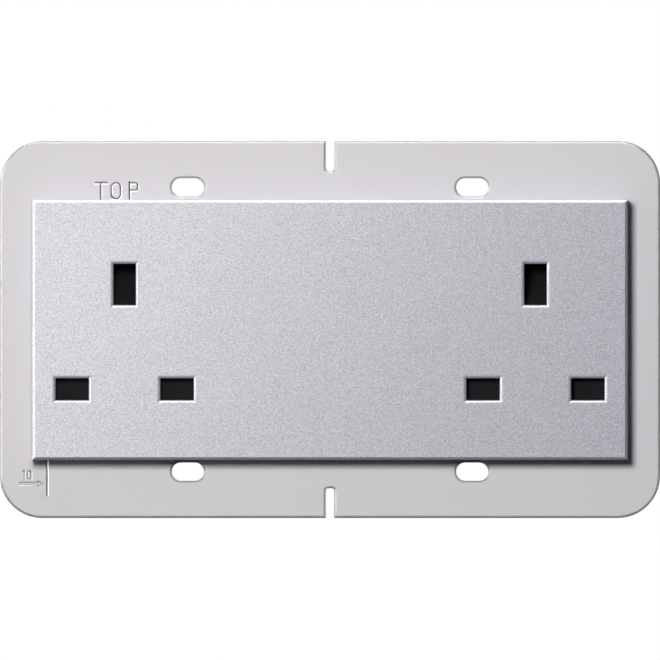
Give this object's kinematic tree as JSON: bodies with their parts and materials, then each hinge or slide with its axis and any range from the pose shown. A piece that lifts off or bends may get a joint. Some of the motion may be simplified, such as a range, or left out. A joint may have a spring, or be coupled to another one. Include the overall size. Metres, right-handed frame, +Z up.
{
  "type": "double wall socket",
  "caption": "Flat two-gang wall socket insert: grey carrier plate with slotted fixings and a raised silver panel with shuttered mouths for flat three-pin plugs.",
  "frame": {"origin": "centre of the carrier plate's back face, on the wall, in the middle of the four fixing slots", "axes": "+X to the right seen from the room, +Y into the wall, +Z up"},
  "size_m": [0.14, 0.03, 0.08],
  "materials": {
    "silver_lacquer": "fine aluminium flake lacquer, satin",
    "plate_grey": "light grey moulded plastic, satin",
    "black_plastic": "black moulded plastic, fine texture",
    "housing_dark": "anthracite heat-proof moulded plastic",
    "brass": "stamped and milled brass",
    "zinc_steel": "bright zinc plate",
    "spring_steel": "drawn wire"
  },
  "bodies": {
    "socket": {"front_cover": "silver_lacquer", "carrier_plate": "plate_grey", "inner_cover": "black_plastic", "contact_housing": "housing_dark", "rear_cover": "housing_dark", "shutter_spring_left": "spring_steel", "shutter_spring_right": "spring_steel", "neutral_clip_left": "brass", "neutral_clip_right": "brass", "line_clip_left": "brass", "line_clip_right": "brass", "earth_clip_left": "brass", "earth_clip_right": "brass", "neutral_bar": "brass", "line_bar": "brass", "earth_bar": "brass", "neutral_terminal": "brass", "line_terminal": "brass", "earth_terminal_left": "brass", "earth_terminal_right": "brass", "neutral_terminal_screw": "zinc_steel", "line_terminal_screw": "zinc_steel", "earth_terminal_left_screw": "zinc_steel", "earth_terminal_right_screw": "zinc_steel", "cover_screws": "zinc_steel", "rear_cover_screws": "zinc_steel"},
    "shutter_left": {"shutter_left": "black_plastic"},
    "shutter_right": {"shutter_right": "black_plastic"}
  },
  "joints": [
    {"name": "shutter_left_slide", "type": "slide", "parent": "socket", "child": "shutter_left", "axis": [0, 0, -1], "range_m": [0, 0.0078], "stiffness_N_per_m": 60, "springref_m": -0.01, "deforming": ["shutter_spring_left"]},
    {"name": "shutter_right_slide", "type": "slide", "parent": "socket", "child": "shutter_right", "axis": [0, 0, -1], "range_m": [0, 0.0078], "stiffness_N_per_m": 60, "springref_m": -0.01, "deforming": ["shutter_spring_right"]}
  ]
}
